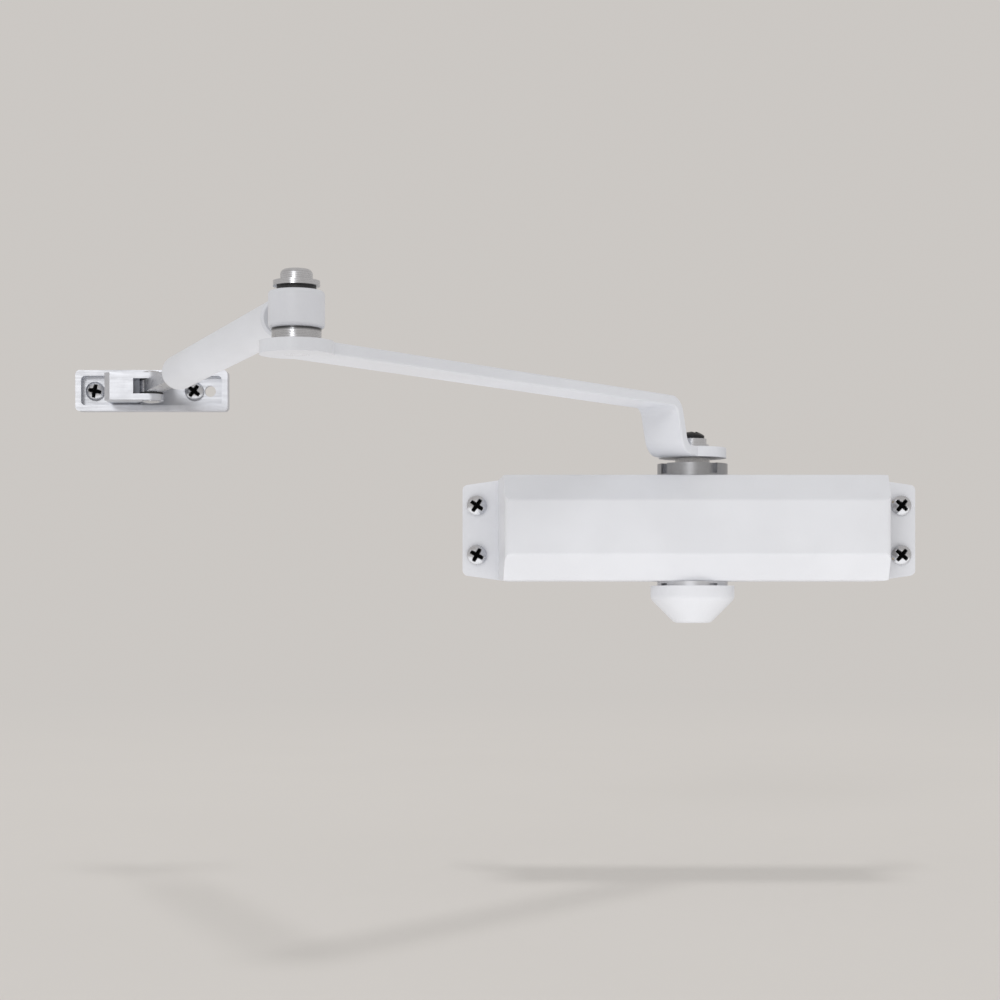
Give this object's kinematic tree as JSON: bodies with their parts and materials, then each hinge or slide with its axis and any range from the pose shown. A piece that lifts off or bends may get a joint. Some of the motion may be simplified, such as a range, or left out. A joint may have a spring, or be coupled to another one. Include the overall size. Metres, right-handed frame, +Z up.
{
  "type": "door closer",
  "caption": "Surface-mounted hydraulic door closer: bevelled cast housing with rack piston and pinion spindle, gooseneck main arm, tubular forearm and frame shoe.",
  "frame": {"origin": "centre of the four body screws, on the back face of the housing", "axes": "+X towards the hinge side along the housing, +Y into the door leaf, +Z up along the spindle"},
  "size_m": [0.3228, 0.2288, 0.104],
  "materials": {
    "body_paint": "die cast, satin silver-white stove paint",
    "arm_paint": "satin silver-white stove paint on steel",
    "knuckle_paint": "satin light grey paint on steel",
    "cap_plastic": "white moulded plastic",
    "shoe_zinc": "bright zinc plating, brushed",
    "zinc_plate": "bright zinc plating",
    "nut_steel": "zinc plated, turned",
    "polished_steel": "ground and polished",
    "bare_steel": "machined, oiled",
    "screw_steel": "zinc plated, dark recess",
    "dark_steel": "blackened",
    "spring_steel": "drawn wire, oiled",
    "bearing_bronze": "sintered bronze",
    "valve_brass": "turned brass",
    "seal_rubber": "oil-resistant rubber",
    "dark_plastic": "black bearing plastic"
  },
  "bodies": {
    "housing": {"closer_body": "body_paint", "end_plug": "bare_steel", "plug_seal": "seal_rubber", "upper_bearing_nut": "nut_steel", "lower_bearing_nut": "nut_steel", "upper_bearing_bush": "bearing_bronze", "lower_bearing_bush": "bearing_bronze", "upper_shaft_seal": "seal_rubber", "lower_shaft_seal": "seal_rubber", "return_spring": "spring_steel", "spindle_cap": "cap_plastic", "body_screws": "screw_steel"},
    "spindle": {"pinion_spindle": "bare_steel", "main_arm": "arm_paint", "arm_washer": "zinc_plate", "arm_lock_washer": "zinc_plate", "arm_screw": "dark_steel", "elbow_spacer": "polished_steel", "elbow_pin": "zinc_plate", "elbow_friction_washer": "dark_plastic", "elbow_washer": "polished_steel"},
    "piston": {"rack_piston": "bare_steel", "check_ring": "bare_steel"},
    "check_ball": {"check_ball": "polished_steel"},
    "knuckle": {"forearm_knuckle": "knuckle_paint", "elbow_bush": "dark_plastic"},
    "forearm": {"forearm_tube": "arm_paint", "rod_end": "zinc_plate"},
    "shoe": {"shoe_plate": "shoe_zinc", "shoe_pin": "zinc_plate", "shoe_washers": "dark_plastic", "shoe_screws": "screw_steel"},
    "closing_valve": {"closing_valve": "valve_brass", "closing_valve_seal": "seal_rubber"},
    "latching_valve": {"latching_valve": "valve_brass", "latching_valve_seal": "seal_rubber"}
  },
  "joints": [
    {"name": "spindle_turn", "type": "hinge", "parent": "housing", "child": "spindle", "pos_m": [0, -0.0195, 0], "axis": [0, 0, -1], "range_deg": [0, 175], "stiffness_Nm_per_rad": 3.1, "springref_deg": -91.67},
    {"name": "piston_slide", "type": "slide", "parent": "housing", "child": "piston", "axis": [-1, 0, 0], "range_m": [0, 0.02291], "deforming": ["return_spring"]},
    {"name": "check_ball_lift", "type": "slide", "parent": "piston", "child": "check_ball", "axis": [1, 0, 0], "range_m": [0, 0.0017]},
    {"name": "elbow_turn", "type": "hinge", "parent": "spindle", "child": "knuckle", "pos_m": [-0.13132, -0.19601, 0.0569], "axis": [0, 0, 1], "range_deg": [-25, 105]},
    {"name": "forearm_length", "type": "slide", "parent": "knuckle", "child": "forearm", "axis": [-0.3754, 0.9268, -0.014], "range_m": [-0.006, 0.02]},
    {"name": "shoe_turn", "type": "hinge", "parent": "forearm", "child": "shoe", "pos_m": [-0.20504, -0.014, 0.05415], "axis": [0, 0, 1], "range_deg": [-55, 40]},
    {"name": "closing_valve_turn", "type": "hinge", "parent": "housing", "child": "closing_valve", "pos_m": [0.05596, -0.0075, 0.0145], "axis": [1, 0, 0], "range_deg": [-180, 180]},
    {"name": "latching_valve_turn", "type": "hinge", "parent": "housing", "child": "latching_valve", "pos_m": [0.05596, -0.0075, -0.0145], "axis": [1, 0, 0], "range_deg": [-180, 180]}
  ],
  "couplings": [
    {"joint": "piston_slide", "follows": "spindle_turn", "m_per_rad": 0.0075}
  ]
}
